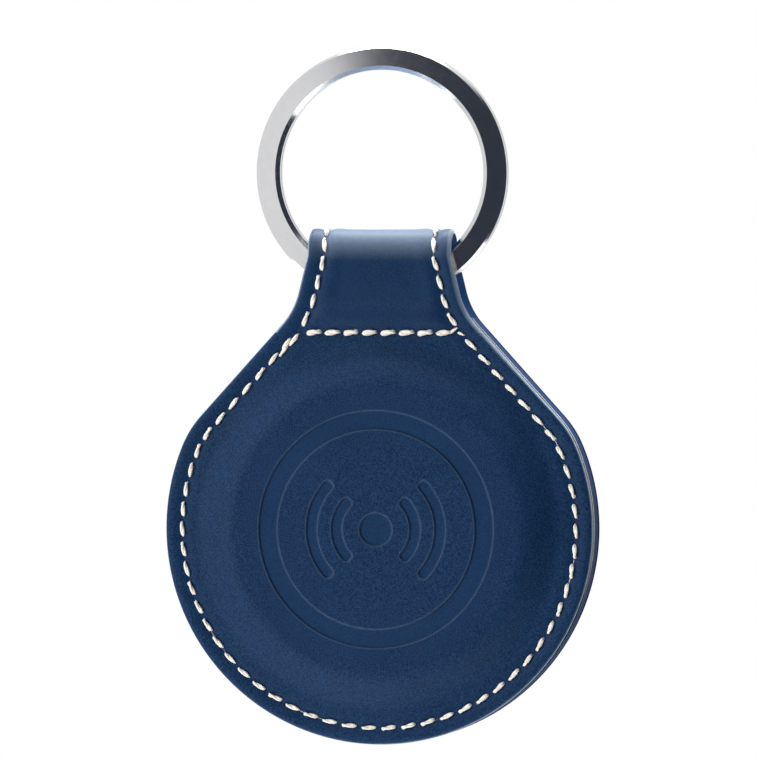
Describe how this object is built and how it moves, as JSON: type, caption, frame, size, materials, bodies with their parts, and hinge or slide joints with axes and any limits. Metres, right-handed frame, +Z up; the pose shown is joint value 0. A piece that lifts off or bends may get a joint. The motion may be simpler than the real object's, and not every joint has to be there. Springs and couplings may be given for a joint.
{
  "type": "bluetooth tracker tag",
  "caption": "Round leather key fob with a debossed front, sewn round a slim radio tracker puck with a coin-cell door at the rear, its neck looped over a flat split ring.",
  "frame": {"origin": "inside of the key ring's top, where a hook, a clip or another ring holds it, in the middle of its thickness", "axes": "+Z up along the hanging fob, from the round body to the ring; the debossed front faces -Y and the battery door +Y; +X to the right seen from the front"},
  "size_m": [0.0512, 0.0106, 0.0827],
  "materials": {
    "ring_steel": "polished, nickel plated",
    "navy_leather": "fine grain, satin",
    "suede_lining": "fine suede, glued to the leather; its edge is sealed and taupe",
    "edge_board": "leatherboard, painted edge",
    "cream_thread": "waxed polyester thread",
    "white_shell": "fine spark texture",
    "grey_door": "fine spark texture",
    "silicone": "soft silicone",
    "board": "solder mask",
    "chip": "moulding compound",
    "can_metal": "tin-plated",
    "ceramic": "fired ceramic",
    "cell_steel": "stainless",
    "spring_metal": "gold flash",
    "clear_plastic": "polished acrylic",
    "mesh": "hydrophobic woven mesh"
  },
  "bodies": {
    "key_ring": {"key_ring": "ring_steel"},
    "case": {"leather_shell": "navy_leather", "front_lining": "suede_lining", "front_spacer": "edge_board", "back_stiffener": "edge_board", "back_lining": "suede_lining", "perimeter_stitching": "cream_thread", "closing_stitching": "cream_thread", "loop_stitching": "cream_thread", "puck_front_cover": "white_shell", "puck_rear_housing": "white_shell", "housing_seal": "silicone", "acoustic_mesh": "mesh", "cell_can": "cell_steel", "cell_cap": "cell_steel", "cell_seal": "chip", "circuit_board": "board", "radio_chip": "chip", "main_crystal": "can_metal", "sleep_crystal": "can_metal", "chip_antenna": "ceramic", "passive_components": "ceramic", "battery_cradle": "chip", "cradle_screws": "cell_steel", "positive_contact": "spring_metal", "negative_contact": "spring_metal", "buzzer_case": "chip", "buzzer_diaphragm": "spring_metal", "status_led": "ceramic", "light_pipe": "clear_plastic", "switch_base": "chip"},
    "button": {"button_cap": "white_shell"},
    "plunger": {"switch_plunger": "chip"},
    "door": {"battery_door": "grey_door", "door_gasket": "silicone"}
  },
  "joints": [
    {"name": "ring_swing", "type": "hinge", "parent": "key_ring", "child": "case", "pos_m": [0, 0, -0.0122], "axis": [0, 1, 0], "continuous": true},
    {"name": "button_press", "type": "slide", "parent": "case", "child": "button", "axis": [0, 1, 0], "range_m": [0, 0.0003], "stiffness_N_per_m": 2000},
    {"name": "switch_press", "type": "slide", "parent": "case", "child": "plunger", "axis": [0, 1, 0], "range_m": [0, 0.0003]},
    {"name": "door_turn", "type": "hinge", "parent": "case", "child": "door", "pos_m": [0, 0, -0.05435], "axis": [0, 1, 0], "range_deg": [0, 40]}
  ],
  "couplings": [
    {"joint": "switch_press", "follows": "button_press", "ratio": 1}
  ]
}
